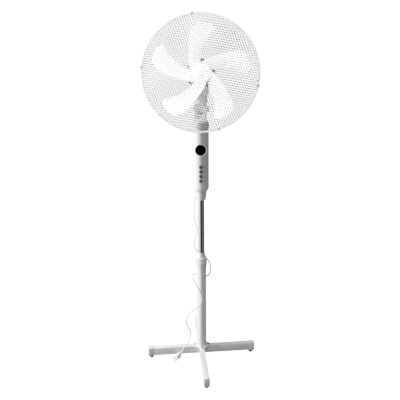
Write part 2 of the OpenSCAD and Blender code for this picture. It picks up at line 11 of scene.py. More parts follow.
import bmesh
import bpy
from mathutils import Matrix, Vector
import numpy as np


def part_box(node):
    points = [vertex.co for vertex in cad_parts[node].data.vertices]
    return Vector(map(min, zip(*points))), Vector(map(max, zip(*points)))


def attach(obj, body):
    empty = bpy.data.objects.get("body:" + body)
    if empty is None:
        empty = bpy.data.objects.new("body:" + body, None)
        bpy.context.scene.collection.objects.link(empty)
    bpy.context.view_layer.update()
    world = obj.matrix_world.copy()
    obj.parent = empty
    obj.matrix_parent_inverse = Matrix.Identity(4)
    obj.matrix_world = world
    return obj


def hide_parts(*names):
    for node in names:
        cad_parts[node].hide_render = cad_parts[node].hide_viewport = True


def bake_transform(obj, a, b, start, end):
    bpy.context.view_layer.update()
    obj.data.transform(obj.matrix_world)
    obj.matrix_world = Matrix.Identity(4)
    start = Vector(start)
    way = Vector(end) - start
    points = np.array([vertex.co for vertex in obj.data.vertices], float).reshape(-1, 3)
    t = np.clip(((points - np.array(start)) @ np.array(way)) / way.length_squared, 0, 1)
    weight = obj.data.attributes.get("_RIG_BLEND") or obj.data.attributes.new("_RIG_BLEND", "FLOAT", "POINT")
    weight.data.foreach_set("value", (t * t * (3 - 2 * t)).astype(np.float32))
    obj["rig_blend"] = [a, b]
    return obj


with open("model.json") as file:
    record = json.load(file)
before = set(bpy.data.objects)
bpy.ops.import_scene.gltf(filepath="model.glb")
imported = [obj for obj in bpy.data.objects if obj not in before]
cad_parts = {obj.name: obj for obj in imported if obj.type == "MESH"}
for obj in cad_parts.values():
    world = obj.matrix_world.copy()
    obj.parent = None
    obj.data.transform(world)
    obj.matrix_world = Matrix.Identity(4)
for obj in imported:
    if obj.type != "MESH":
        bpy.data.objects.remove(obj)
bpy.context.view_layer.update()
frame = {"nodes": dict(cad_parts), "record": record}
nodes = frame["nodes"]
body_of_node = {n: b for b, names in frame["record"]["behaviour"]["bodies"].items() for n in names}
MM = 0.001

# %% [markdown]
# ## Camera
# The viewer stands almost square to the fan, a little under two metres away. A 41 mm
# lens on a 36 mm wide sensor gives that view. The camera looks down
# a few degrees, and a vertical shift keeps the whole pole in the frame without leaning it.

# %% Camera
camera_place = Vector((-0.0028, -1.7726, 1.1689))
camera_down = math.radians(8.624)
camera_roll = math.radians(-0.264)
camera_data = bpy.data.cameras.new("camera")
camera_data.lens = 41.02
camera_data.sensor_width = 36
camera_data.shift_y = -0.1423
camera = bpy.data.objects.new("camera", camera_data)
bpy.context.collection.objects.link(camera)
turn = Matrix.Rotation(math.pi / 2 - camera_down, 4, "X") @ Matrix.Rotation(camera_roll, 4, "Z")
camera.matrix_world = Matrix.Translation(camera_place) @ turn
bpy.context.scene.camera = camera
bpy.context.scene.view_settings.view_transform = "Standard"
print("camera at", [round(v, 3) for v in camera_place])

# %% [markdown]
# ## Two helpers for materials
# Colours are written as the hex values that a paint chart would give, and one function
# turns them to the linear light that the renderer works in. A second function adds a
# node, sets it up and links it, so a material reads as a short list of its layers.

# %% Colour and node helpers
def paint(hex_code):
    """An sRGB hex colour such as "#f2f3f4" as linear red, green, blue and alpha."""
    parts = [int(hex_code[i:i + 2], 16) / 255 for i in (1, 3, 5)]
    linear = [p / 12.92 if p <= 0.04045 else ((p + 0.055) / 1.055) ** 2.4 for p in parts]
    return (*linear, 1.0)


def add(tree, kind, inputs=None, **settings):
    """A new node with its settings, its input values, and a link for each input that is a socket."""
    made = tree.nodes.new(kind)
    for name, value in settings.items():
        setattr(made, name, value)
    for name, value in (inputs or {}).items():
        if isinstance(value, bpy.types.NodeSocket):
            tree.links.new(value, made.inputs[name])
        else:
            made.inputs[name].default_value = value
    return made


def new_finish(name, colour, roughness, metallic=0.0, **shader_values):
    """A material with one Principled shader on Object coordinates, ready for its pattern."""
    material = bpy.data.materials.new(name)
    material.use_nodes = True
    tree = material.node_tree
    tree.nodes.clear()
    place = add(tree, "ShaderNodeTexCoord").outputs["Object"]
    values = {"Base Color": paint(colour), "Roughness": roughness, "Metallic": metallic}
    values.update({key.replace("_", " "): value for key, value in shader_values.items()})
    shader = add(tree, "ShaderNodeBsdfPrincipled", values)
    add(tree, "ShaderNodeOutputMaterial", {"Surface": shader.outputs["BSDF"]})
    material.diffuse_color = paint(colour)
    return material, tree, place, shader


def grain(tree, place, size_mm, detail=3.0, stretch=(1, 1, 1)):
    """Noise whose blotches are about size_mm across; stretch lengthens them along an axis."""
    spread = add(tree, "ShaderNodeMapping", {"Vector": place, "Scale": [1 / s for s in stretch]})
    return add(tree, "ShaderNodeTexNoise", {"Vector": spread.outputs["Vector"],
               "Scale": 1 / (size_mm * MM), "Detail": detail, "Roughness": 0.55}).outputs["Fac"]


def vary(tree, shader, pattern, socket, low, high):
    """Lets the pattern move one of the shader's sockets between two values or two colours."""
    if socket == "Base Color":
        ramp = add(tree, "ShaderNodeValToRGB", {"Fac": pattern})
        ramp.color_ramp.elements[0].color = paint(low)
        ramp.color_ramp.elements[1].color = paint(high)
        ramp.color_ramp.elements[0].position = 0.3
        ramp.color_ramp.elements[1].position = 0.7
        tree.links.new(ramp.outputs["Color"], shader.inputs[socket])
    else:
        span = add(tree, "ShaderNodeMapRange", {"Value": pattern, "From Min": 0.3, "From Max": 0.7,
                                                "To Min": low, "To Max": high})
        tree.links.new(span.outputs["Result"], shader.inputs[socket])


def bump(tree, shader, pattern, height_mm, strength=1.0):
    """Raises the surface by up to height_mm where the pattern is bright."""
    raised = add(tree, "ShaderNodeBump", {"Height": pattern, "Distance": height_mm * MM,
                                          "Strength": strength})
    tree.links.new(raised.outputs["Normal"], shader.inputs["Normal"])


print("helpers ready")

# %% [markdown]
# ## White finishes
# Two whites meet on this fan. The legs and the outer tube are steel with a baked powder
# coat: it is slightly glossy and has a fine orange peel, a grain of about a millimetre.
# The column, covers and collar are moulded ABS, spark-textured in the mould, so they are
# more satin. The texture of both is faint, and it shows in how highlights break up.

# %% White finishes
def powder_coat():
    # Baked white powder on steel tube: clean cool white, soft gloss, orange-peel ripple.
    material, tree, place, shader = new_finish("powder_coated_steel", "#f1f2f2", 0.34,
                                               Coat_Weight=0.25, Coat_Roughness=0.12)
    vary(tree, shader, grain(tree, place, 45), "Base Color", "#edeeee", "#f4f5f5")
    vary(tree, shader, grain(tree, place, 12), "Roughness", 0.28, 0.4)
    bump(tree, shader, grain(tree, place, 1.6, 2), 0.05, 0.35)
    return material


def moulded_abs(name="moulded_abs_white", colour="#f0f1f0", shade="#eaebea"):
    # Injection-moulded ABS with a spark-eroded texture: satin, with an even fine grain.
    material, tree, place, shader = new_finish(name, colour, 0.42, Subsurface_Weight=0.04,
                                               Subsurface_Scale=0.002, Subsurface_Radius=(1, 1, 1))
    vary(tree, shader, grain(tree, place, 60), "Base Color", shade, colour)
    vary(tree, shader, grain(tree, place, 9), "Roughness", 0.36, 0.48)
    bump(tree, shader, grain(tree, place, 0.7, 2), 0.03, 0.3)
    return material


def coated_wire(name, colour, shade):
    # Netting dipped in white PVC: a soft, slightly uneven skin over galvanised wire. Both
    # copies of this finish are drawn greyer than white PVC, painted shade so the wires read
    # against white; the twisted pairs' copy is darker still, painted shadow for the grooves
    # between their wires.
    material, tree, place, shader = new_finish(name, colour, 0.36)
    vary(tree, shader, grain(tree, place, 14), "Base Color", shade, colour)
    vary(tree, shader, grain(tree, place, 5), "Roughness", 0.3, 0.45)
    bump(tree, shader, grain(tree, place, 2.2, 2), 0.06, 0.3)
    return material


def blade_plastic():
    # Moulded polypropylene, 2 mm thin: milky, a little light comes through it, faint flow
    # lines run out from the hub.
    material, tree, place, shader = new_finish("polypropylene_blade", "#f3f5f5", 0.3,
                                               Subsurface_Weight=0.6, Subsurface_Scale=0.006,
                                               Subsurface_Radius=(1, 1, 1))
    vary(tree, shader, grain(tree, place, 30), "Base Color", "#eef0f0", "#f6f8f8")
    vary(tree, shader, grain(tree, place, 7), "Roughness", 0.25, 0.38)
    bump(tree, shader, grain(tree, place, 3, 2, (1, 1, 6)), 0.04, 0.25)
    return material


def lead_sheath():
    # Soft white PVC sheath of the mains lead: a dull sheen and slow waviness.
    material, tree, place, shader = new_finish("pvc_lead_sheath", "#e9ebea", 0.46)
    vary(tree, shader, grain(tree, place, 20), "Base Color", "#e0e2e1", "#eff1f0")
    bump(tree, shader, grain(tree, place, 3, 2), 0.05, 0.4)
    return material


powder_white = powder_coat()
abs_white = moulded_abs()
abs_grey = moulded_abs("moulded_abs_grey", "#a9abad", "#9fa1a3")
# Painted shade: light grey single wires and darker twisted pairs stand in for shade on white wire.
netting_painted_grey = coated_wire("pvc_coated_netting_painted_grey", "#d3d5d5", "#c6c8c8")
netting_twists_painted_shadow = coated_wire("pvc_coated_twists_painted_shadow", "#9fa1a1", "#8f9191")
blade_white = blade_plastic()
lead_white = lead_sheath()
print("white finishes:", [m.name for m in bpy.data.materials])

# %% [markdown]
# ## Metals
# The inner tube is chrome plate over drawn steel, which is a mirror with faint lines along
# the draw. Fasteners are zinc plate, duller and cooler. Inside there are a cast alloy
# motor case, a laminated steel core, enamelled copper and a ground shaft, and each shows
# how it was made: cast grain, stacked sheets, wire turns, fine grinding rings.

# %% Metals
def chrome_plate():
    # Bright chromium on a drawn tube: near-mirror, with hairlines along the tube.
    material, tree, place, shader = new_finish("chrome_plated_tube", "#e4e6e8", 0.08, 1.0)
    vary(tree, shader, grain(tree, place, 0.5, 2, (1, 1, 400)), "Roughness", 0.05, 0.13)
    bump(tree, shader, grain(tree, place, 0.6, 2, (1, 1, 300)), 0.001, 0.2)
    return material


def plain_metal(name, colour, shade, roughness, grain_mm, height_mm, stretch=(1, 1, 1)):
    # A metal whose look is its grain: plated, cast or ground, by size, height and stretch.
    material, tree, place, shader = new_finish(name, colour, roughness, 1.0)
    vary(tree, shader, grain(tree, place, grain_mm * 6), "Base Color", shade, colour)
    vary(tree, shader, grain(tree, place, grain_mm * 2), "Roughness",
         roughness - 0.08, roughness + 0.1)
    bump(tree, shader, grain(tree, place, grain_mm, 3, stretch), height_mm, 0.5)
    return material


def striped_metal(name, colour, gap_colour, pitch_mm, roughness):
    # Turns or sheets stacked along the motor's axis: a stripe per wire or lamination.
    material, tree, place, shader = new_finish(name, colour, roughness, 0.9)
    waves = add(tree, "ShaderNodeTexWave", {"Vector": place, "Scale": 1 / (pitch_mm * MM * 6.283),
                "Distortion": 1.5, "Detail": 1.0}, wave_type="BANDS", bands_direction="Y")
    vary(tree, shader, waves.outputs["Fac"], "Base Color", gap_colour, colour)
    bump(tree, shader, waves.outputs["Fac"], 0.15, 0.6)
    return material


chrome = chrome_plate()
# Bright zinc plate: cool grey with small cloudy grains.
zinc = plain_metal("zinc_plated_steel", "#c9ccce", "#b4b8bb", 0.32, 1.2, 0.01)
# Die-cast aluminium: matt and faintly pebbled.
cast_alloy = plain_metal("die_cast_aluminium", "#b9bbbc", "#a8aaab", 0.5, 1.5, 0.05)
# Ground steel: fine rings round the shaft.
shaft_steel = plain_metal("ground_shaft_steel", "#d3d5d6", "#c3c5c6", 0.2, 0.4, 0.003, (30, 1, 30))
# Sintered bronze: brown-gold and porous.
bronze = plain_metal("sintered_bronze", "#a8834a", "#8d6c3a", 0.45, 0.6, 0.03)
# Stacked electrical steel, 0.5 mm sheets, drawn twice as coarse so that they show.
core_steel = striped_metal("laminated_core_steel", "#85878a", "#5a5c5f", 1.0, 0.45)
# Enamelled copper wire, 0.5 mm, drawn at 1 mm so that the turns show.
copper = striped_metal("enamelled_copper_wire", "#b5652e", "#6b3516", 1.0, 0.35)
print("metals:", chrome.name, zinc.name, cast_alloy.name, shaft_steel.name)

# %% [markdown]
# ## Dark finishes
# The round window is smoked acrylic, so dark that the display behind it vanishes, and
# polished. The buttons are grey ABS with a fine matt texture. The feet are black rubber
# and the marks beside the buttons are pad-printed grey ink.

# %% Dark finishes
def smoked_window():
    # Smoked acrylic: deep black with a clear polished skin.
    material, tree, place, shader = new_finish("smoked_acrylic_window", "#030304", 0.08,
                                               Specular_IOR_Level=0.35)
    vary(tree, shader, grain(tree, place, 18), "Roughness", 0.06, 0.12)
    return material


def matt_plastic(name, colour, shade, grain_mm, height_mm, roughness):
    # A dull moulded or rubbery surface with a visible fine grain.
    material, tree, place, shader = new_finish(name, colour, roughness)
    vary(tree, shader, grain(tree, place, grain_mm * 8), "Base Color", shade, colour)
    vary(tree, shader, grain(tree, place, grain_mm * 3), "Roughness",
         roughness - 0.06, roughness + 0.08)
    bump(tree, shader, grain(tree, place, grain_mm, 2), height_mm, 0.5)
    return material


def circuit_board():
    # Epoxy glass board under green solder mask: a fine weave and a soft gloss.
    material, tree, place, shader = new_finish("solder_masked_board", "#1d5a34", 0.35)
    weave = add(tree, "ShaderNodeTexWave", {"Vector": place, "Scale": 160.0, "Distortion": 0.4},
                bands_direction="X")
    vary(tree, shader, weave.outputs["Fac"], "Base Color", "#18502d", "#22643b")
    return material


window_black = smoked_window()
button_grey = matt_plastic("matt_button_abs", "#67696b", "#5e6062", 0.5, 0.03, 0.5)
rubber = matt_plastic("moulded_rubber", "#5c5d5e", "#4d4e4f", 0.8, 0.06, 0.75)
ink = matt_plastic("pad_printed_ink", "#4a4c4e", "#424446", 0.6, 0.01, 0.55)
board_green = circuit_board()
print("dark finishes:", window_black.name, button_grey.name, rubber.name, ink.name)

# %% [markdown]
# ## Mesh helpers
# Most new pieces are either a tube swept along a path or a profile turned on an axis.
# Both are a grid of points: rings of vertices joined ring to ring, with the ends closed.
# One function makes the piece from points and faces and another puts it on its body.

# %% Mesh helpers
def mesh_piece(name, points, faces, material, sharp_degrees=35):
    """A mesh object at the origin with its place in its points, shaded smooth but for sharp edges."""
    mesh = bpy.data.meshes.new(name)
    mesh.from_pydata([tuple(p) for p in points], [], faces)
    work = bmesh.new()
    work.from_mesh(mesh)
    bmesh.ops.remove_doubles(work, verts=work.verts, dist=1e-7)
    bmesh.ops.recalc_face_normals(work, faces=work.faces)
    work.to_mesh(mesh)
    work.free()
    mesh.shade_smooth()
    mesh.set_sharp_from_angle(angle=math.radians(sharp_degrees))
    mesh.materials.append(material)
    piece = bpy.data.objects.new(name, mesh)
    bpy.context.collection.objects.link(piece)
    return piece


def ring_faces(rings, sides, closed_ends=True):
    """Faces between rings of points that are numbered one ring after another."""
    faces = []
    for r in range(rings - 1):
        for k in range(sides):
            after = (k + 1) % sides
            faces.append((r * sides + k, r * sides + after, (r + 1) * sides + after, (r + 1) * sides + k))
    if closed_ends:
        faces.append(tuple(range(sides))[::-1])
        faces.append(tuple((rings - 1) * sides + k for k in range(sides)))
    return faces


def place_on(piece, node_name, replace=True):
    """The piece stands for a CAD node: it hides that node and rides on that node's body."""
    if replace:
        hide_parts(node_name)
    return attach(piece, body_of_node[node_name])


print("mesh helpers ready")

# %% [markdown]
# ## The mains lead
# The lead leaves the column through a tapered strain relief, hangs close to the chrome
# tube, winds once and a half round the collar and the outer tube, and ends in its plug
# just over the floor. It is a round sheath 5 mm thick. Its route is a list of points that
# the smooth curve passes through, and the sheath is swept along it. The upper stretch is
# tied to the column and the rest to the pole, so it bends between the two bodies.

# %% Route of the lead
GRIP_START = Vector((-14.5, 13, 703)) * MM
GRIP_AXIS = Vector((-0.3, 0.12, -0.95)).normalized()
GRIP_LENGTH = 24 * MM
LEAD_DIAMETER = 5 * MM
lead_points = [Vector(p) * MM for p in (
    (-24, 17, 665), (-26, 14, 646), (-24, 12, 625), (-26, 11, 604), (-25, 11, 583),
    (-20, 12, 562), (-17, 13, 540), (-21, 13, 518), (-26, 14, 496), (-27, 18, 474),
    (-23, 24, 454), (-13, 30, 438), (3, 33, 425), (19, 29, 414), (32, 19, 402),
    (38, 9, 386), (37, 4, 367), (31, 9, 349), (19, 19, 337), (3, 26, 332), (-14, 27, 337),
    (-27, 20, 346), (-35, 5, 351), (-36, -10, 347), (-28, -22, 334), (-16, -29, 315),
    (-5, -31, 294), (2, -32, 270), (-1, -33, 247), (-14, -32, 229), (-32, -29, 213),
    (-49, -25, 195), (-60, -20, 173), (-62, -13, 150), (-57, -5, 128), (-50, 3, 108),
    (-46, 9, 87), (-48, 9, 67), (-54, 1, 53), (-61, -9, 47), (-69, -18, 43.5),
    (-77, -26, 36), (-83, -32, 28))]
lead_exit = GRIP_START + GRIP_AXIS * GRIP_LENGTH


def smooth_route(points, steps):
    """Points on the smooth curve through a route, steps to a stretch."""
    ends = [points[0], *points, points[-1]]
    route = []
    for a, b, c, d in zip(ends, ends[1:], ends[2:], ends[3:]):
        for step in range(steps):
            t = step / steps
            route.append(0.5 * (2 * b + (c - a) * t + (2 * a - 5 * b + 4 * c - d) * t * t
                                + (3 * b - a - 3 * c + d) * t ** 3))
    return [*route, points[-1]]


def swept_tube(route, radius, sides):
    """Rings of points round a route, carried along it without twisting, and their faces."""
    points, side = [], Vector((0, 1, 0.1))
    for i, p in enumerate(route):
        ahead = (route[min(i + 1, len(route) - 1)] - route[max(i - 1, 0)]).normalized()
        side = (side - side.dot(ahead) * ahead).normalized()
        across = ahead.cross(side)
        for k in range(sides):
            angle = 2 * math.pi * k / sides
            points.append(p + radius * (math.cos(angle) * side + math.sin(angle) * across))
    return points, ring_faces(len(route), sides)


lead_route = smooth_route([lead_exit, *lead_points], 6)

# %% Lead, bent between column and pole
lead = mesh_piece("mains_lead", *swept_tube(lead_route, LEAD_DIAMETER / 2, 14), lead_white)
# A lighting aid: without its shadow, the pole behind the lead keeps an even tone.
lead.visible_shadow = False
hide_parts("cord_upper", "cord_lower")
tie_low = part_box("cord_upper")[0].z
tie_high = lead_exit.z
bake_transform(lead, "base", "mast", start=(0, 0, tie_low), end=(0, 0, tie_high))
print("lead bends between", round(tie_low, 3), "and", round(tie_high, 3), "m")

# %% [markdown]
# ## Strain relief
# Where the lead leaves the cone it is held by a tapered boot with moulded ribs, which let
# it flex without kinking. The boot is a turned profile: a taper whose radius steps in at
# each groove. The function that turns it serves for every round part that follows.

# %% Turned parts
def turned(profile, sides=64, axis=Vector((0, 0, 1)), origin=Vector((0, 0, 0))):
    """A profile of (radius, distance) turned round an axis, and its faces. Ends close on the axis."""
    axis = axis.normalized()
    side = Vector((1, 0, 0)) if abs(axis.x) < 0.9 else Vector((0, 1, 0))
    side = (side - side.dot(axis) * axis).normalized()
    across = axis.cross(side)
    points = []
    for radius, along in profile:
        for k in range(sides):
            angle = 2 * math.pi * k / sides
            points.append(origin + axis * along
                          + max(radius, 1e-9) * (math.cos(angle) * side + math.sin(angle) * across))
    return points, ring_faces(len(profile), sides, closed_ends=False)


def boot_profile(wide, narrow, length, ribs):
    """The taper of a strain relief, with a groove after each rib."""
    profile = [(0, -2 * MM), (wide, -2 * MM), (wide, 0.28 * length)]
    for rib in range(ribs):
        start = length * (0.28 + 0.68 * rib / ribs)
        step = 0.68 * length / ribs
        radius = wide + (narrow - wide) * (rib + 0.5) / ribs
        profile += [(radius - 0.45 * MM, start + 0.15 * step), (radius - 0.45 * MM, start + 0.4 * step),
                    (radius, start + 0.5 * step), (radius, start + 0.95 * step)]
    return profile + [(narrow, length), (narrow - 0.3 * MM, length + 0.2 * MM), (0, length + 0.2 * MM)]


boot = mesh_piece("strain_relief", *turned(boot_profile(3.5 * MM, 2.9 * MM, GRIP_LENGTH, 6), 32,
                                           GRIP_AXIS, GRIP_START), abs_white, 50)
place_on(boot, "cord_grip")
print("strain relief has", len(boot.data.vertices), "points")

# %% [markdown]
# ## Softened edges
# CAD solids end in knife edges, and nothing that was rolled, moulded or cast does. A copy
# of the solid is merged to clean faces, its sharp edges get a small round with the Bevel
# modifier, and the result stands for the CAD node. Folded tube gets a round of a few
# millimetres, and mouldings less than one.

# %% Softened copies of CAD nodes
def softened(node_name, radius_mm, material, name=None, segments=3):
    """A copy of a CAD node with its sharp edges rounded, standing for that node."""
    mesh = nodes[node_name].data.copy()
    work = bmesh.new()
    work.from_mesh(mesh)
    bmesh.ops.remove_doubles(work, verts=work.verts, dist=1e-6)
    bmesh.ops.dissolve_limit(work, angle_limit=math.radians(1), verts=work.verts, edges=work.edges)
    work.to_mesh(mesh)
    work.free()
    for attribute in [a.name for a in mesh.attributes if a.name == "custom_normal"]:
        mesh.attributes.remove(mesh.attributes[attribute])
    mesh.materials.clear()
    mesh.materials.append(material)
    piece = bpy.data.objects.new(name or node_name + "_soft", mesh)
    bpy.context.collection.objects.link(piece)
    rounding = piece.modifiers.new("edges", "BEVEL")
    rounding.width = radius_mm * MM
    rounding.segments = segments
    rounding.limit_method = "ANGLE"
    rounding.angle_limit = math.radians(40)
    bpy.context.view_layer.update()
    graph = bpy.context.evaluated_depsgraph_get()
    finished = bpy.data.meshes.new_from_object(piece.evaluated_get(graph))
    piece.modifiers.clear()
    piece.data = finished
    finished.shade_smooth()
    finished.set_sharp_from_angle(angle=math.radians(35))
    return place_on(piece, node_name)


soft_nodes = {
    "leg_bar_long": (2.2, powder_white), "leg_bar_cross": (2.2, powder_white),
    "base_flange": (0.8, powder_white), "tilt_yoke": (1.2, abs_white),
    "neck_bracket": (1.2, abs_white), "tilt_knob": (0.8, abs_white),
    "plug_body": (0.9, abs_white), "guard_clips": (0.5, abs_white)}
for number in range(1, 5):
    soft_nodes[f"end_cap_{number}"] = (1.4, abs_white)
    soft_nodes[f"foot_{number}"] = (0.8, rubber)
soft_pieces = {n: softened(n, radius, finish) for n, (radius, finish) in soft_nodes.items()}
print("softened", len(soft_pieces), "parts")

# %% [markdown]
# ## Wire netting
# Both guards are hexagonal netting. Two of a cell's three kinds of side are single wires,
# and along the third two wires twist round each other. A Geometry Nodes tree makes it by
# rule: a slanted grid of points, a star of three wire lines on each point, all of it
# trimmed to a disc, turned, and lifted onto the dome or the basket. Then every line
# becomes a round wire. Cells are 9.8 mm across flats. Single wires are drawn 1.2 mm
# thick and twisted ones 1.6 mm, heavier than real wire, so the pattern reads from afar.

# %% Netting tree
def netting_tree():
    """Geometry Nodes for hexagonal netting on a round dome or a basket, facing -Y."""
    tree = bpy.data.node_groups.new("hexagonal_netting", "GeometryNodeTree")
    tree.interface.new_socket("Geometry", in_out="OUTPUT", socket_type="NodeSocketGeometry")
    sizes = {"Cell": 0.0098, "Wire Radius": 0.0005, "Outer Radius": 0.2, "Inner Radius": 0.0,
             "Base": 0.0, "Height": 0.02, "Shaft Height": 1.0, "Turn": 0.0}
    for name, value in sizes.items():
        tree.interface.new_socket(name, in_out="INPUT", socket_type="NodeSocketFloat").default_value = value
    for name in ("Basket", "Twisted"):
        tree.interface.new_socket(name, in_out="INPUT", socket_type="NodeSocketBool")
    tree.interface.new_socket("Finish", in_out="INPUT", socket_type="NodeSocketMaterial")
    given = add(tree, "NodeGroupInput").outputs

    def maths(kind, *values):
        return add(tree, "ShaderNodeMath", dict(enumerate(values)), operation=kind).outputs[0]

    def joined(*parts):
        made = add(tree, "GeometryNodeJoinGeometry")
        for part in parts:
            tree.links.new(part, made.inputs[0])
        return made.outputs[0]

    def moved(geometry, degrees):
        return add(tree, "GeometryNodeTransform", {"Geometry": geometry,
                   "Rotation": (0, 0, math.radians(degrees))}).outputs[0]

    def vector(x, y, z):
        return add(tree, "ShaderNodeCombineXYZ", {"X": x, "Y": y, "Z": z}).outputs[0]

    side = maths("DIVIDE", given["Cell"], math.sqrt(3))
    index = add(tree, "GeometryNodeInputIndex").outputs[0]

    def straight(points):
        step = vector(maths("DIVIDE", side, float(points - 1)), 0.0, 0.0)
        return add(tree, "GeometryNodeMeshLine", {"Count": points, "Offset": step}).outputs[0]

    def strand(points, turns, start):
        angle = maths("ADD", maths("MULTIPLY", index, 2 * math.pi * turns / (points - 1)), start)
        off = vector(0.0, maths("MULTIPLY", maths("COSINE", angle), given["Wire Radius"]),
                     maths("MULTIPLY", maths("SINE", angle), given["Wire Radius"]))
        return add(tree, "GeometryNodeSetPosition", {"Geometry": straight(points),
                                                     "Offset": off}).outputs[0]

    single = straight(3)
    singles = joined(moved(single, 30), moved(single, 270))
    pair = moved(joined(strand(7, 1.0, 0.0), strand(7, 1.0, math.pi)), 150)
    star = add(tree, "GeometryNodeSwitch", {"Switch": given["Twisted"], "False": singles,
                                            "True": pair}, input_type="GEOMETRY").outputs[0]
    # A grid with one point to a unit, then slanted so that its points are the netting's knots
    across, rows = 73, 53
    grid = add(tree, "GeometryNodeMeshGrid", {"Size X": across - 1.0, "Size Y": rows - 1.0,
                                              "Vertices X": across, "Vertices Y": rows}).outputs[0]
    spot = add(tree, "ShaderNodeSeparateXYZ",
               {"Vector": add(tree, "GeometryNodeInputPosition").outputs[0]}).outputs
    slanted = vector(maths("MULTIPLY", maths("ADD", spot["X"], maths("MULTIPLY", spot["Y"], 0.5)),
                           given["Cell"]),
                     maths("MULTIPLY", spot["Y"], maths("MULTIPLY", given["Cell"], math.sqrt(3) / 2)), 0.0)
    knots = add(tree, "GeometryNodeSetPosition", {"Geometry": grid, "Position": slanted}).outputs[0]
    stars = add(tree, "GeometryNodeInstanceOnPoints", {"Points": knots, "Instance": star}).outputs[0]
    wires = add(tree, "GeometryNodeRealizeInstances", {"Geometry": stars}).outputs[0]

    def lengths():
        place = add(tree, "GeometryNodeInputPosition").outputs[0]
        flat = add(tree, "ShaderNodeVectorMath", {0: place, 1: (1, 1, 0)}, operation="MULTIPLY").outputs[0]
        return place, add(tree, "ShaderNodeVectorMath", {0: flat}, operation="LENGTH").outputs["Value"]

    place, distance = lengths()
    margin = maths("MULTIPLY", given["Cell"], 0.3)
    outside = maths("GREATER_THAN", distance, maths("ADD", given["Outer Radius"], margin))
    inside = maths("LESS_THAN", distance, given["Inner Radius"])
    trimmed = add(tree, "GeometryNodeDeleteGeometry", {"Geometry": wires,
                  "Selection": maths("MAXIMUM", outside, inside)}, domain="POINT").outputs[0]
    # Wire ends past the rim are drawn back to it, then the flat net is lifted to its shape
    shrink = maths("DIVIDE", maths("MINIMUM", distance, given["Outer Radius"]), distance)
    drawn = add(tree, "ShaderNodeVectorMath", {0: place, 1: vector(shrink, shrink, 1.0)},
                operation="MULTIPLY").outputs[0]
    rounded = add(tree, "GeometryNodeSetPosition", {"Geometry": trimmed, "Position": drawn}).outputs[0]
    place, distance = lengths()
    share = maths("DIVIDE", distance, given["Outer Radius"])
    dome = maths("SUBTRACT", 1.0, maths("MULTIPLY", share, share))
    flat_radius = 0.06
    bowl = maths("DIVIDE", maths("MAXIMUM", maths("SUBTRACT", distance, flat_radius), 0.0),
                 maths("SUBTRACT", given["Outer Radius"], flat_radius - 0.00001))
    basket = maths("SUBTRACT", 1.0, maths("SQRT", maths("MAXIMUM", 0.0, maths(
        "SUBTRACT", 1.0, maths("MULTIPLY", bowl, bowl)))))
    lift = add(tree, "GeometryNodeSwitch", {"Switch": given["Basket"], "False": dome, "True": basket},
               input_type="FLOAT").outputs[0]
    height = maths("ADD", given["Base"], maths("MULTIPLY", lift, given["Height"]))
    shaped = add(tree, "GeometryNodeSetPosition", {"Geometry": rounded,
                 "Offset": vector(0.0, 0.0, height)}).outputs[0]
    turned_net = add(tree, "GeometryNodeTransform", {"Geometry": shaped,
                     "Rotation": vector(0.0, 0.0, given["Turn"])}).outputs[0]
    facing = add(tree, "GeometryNodeTransform", {"Geometry": turned_net,
                 "Rotation": (math.pi / 2, 0, 0),
                 "Translation": vector(0.0, 0.0, given["Shaft Height"])}).outputs[0]
    lines = add(tree, "GeometryNodeMeshToCurve", {"Mesh": facing}).outputs[0]
    section = add(tree, "GeometryNodeCurvePrimitiveCircle", {"Resolution": 4,
                  "Radius": given["Wire Radius"]}).outputs["Curve"]
    tubes = add(tree, "GeometryNodeCurveToMesh", {"Curve": lines, "Profile Curve": section,
                                                  "Fill Caps": True}).outputs[0]
    whole = add(tree, "GeometryNodeRealizeInstances", {"Geometry": tubes}).outputs[0]
    dressed = add(tree, "GeometryNodeSetMaterial", {"Geometry": whole,
                                                    "Material": given["Finish"]}).outputs[0]
    add(tree, "NodeGroupOutput", {"Geometry": dressed})
    return tree


netting = netting_tree()
print("netting tree has", len(netting.nodes), "nodes")

# %% Four nets: single wires and twisted pairs of the rear basket and the front dome
def grown(name, tree, values):
    """A plain mesh piece made by a Geometry Nodes tree with these named inputs."""
    piece = bpy.data.objects.new(name, bpy.data.meshes.new(name))
    bpy.context.collection.objects.link(piece)
    growth = piece.modifiers.new("growth", "NODES")
    growth.node_group = tree
    sockets = {s.name: s.identifier for s in tree.interface.items_tree if s.in_out == "INPUT"}
    for socket, value in values.items():
        growth[sockets[socket]] = value
    bpy.context.view_layer.update()
    graph = bpy.context.evaluated_depsgraph_get()
    finished = bpy.data.meshes.new_from_object(piece.evaluated_get(graph))
    piece.modifiers.clear()
    piece.data = finished
    finished.shade_smooth()
    return piece


shaft_low, shaft_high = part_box("motor_shaft")
shaft_z = (shaft_low.z + shaft_high.z) / 2
net_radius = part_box("front_guard_mesh")[1].x
net_front = -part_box("front_guard_mesh")[1].y
net_depth = -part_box("front_guard_mesh")[0].y - net_front
rear_seat = -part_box("rear_guard_mesh")[1].y
rear_depth = -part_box("rear_guard_mesh")[0].y - rear_seat
NET_CELL = 0.0098
NET_TURN = math.radians(-10)
REAR_HOLE_RADIUS = 0.021
SINGLE_RADIUS, TWIST_RADIUS = 0.00062, 0.00078
nets = {
    "front_guard": {"Base": net_front, "Height": net_depth, "Basket": False, "Inner Radius": 0.0},
    "rear_guard": {"Base": rear_seat, "Height": rear_depth, "Basket": True,
                   "Inner Radius": REAR_HOLE_RADIUS}}
for guard, shape in nets.items():
    for part, twisted in (("wires", False), ("twists", True)):
        net = grown(f"{guard}_{part}", netting, {
            **shape, "Twisted": twisted, "Cell": NET_CELL,
            "Wire Radius": TWIST_RADIUS if twisted else SINGLE_RADIUS,
            "Outer Radius": net_radius, "Shaft Height": shaft_z,
            "Turn": NET_TURN, "Finish": netting_twists_painted_shadow if twisted else netting_painted_grey})
        place_on(net, f"{guard}_mesh")
        print(net.name, "has", len(net.data.polygons), "faces")

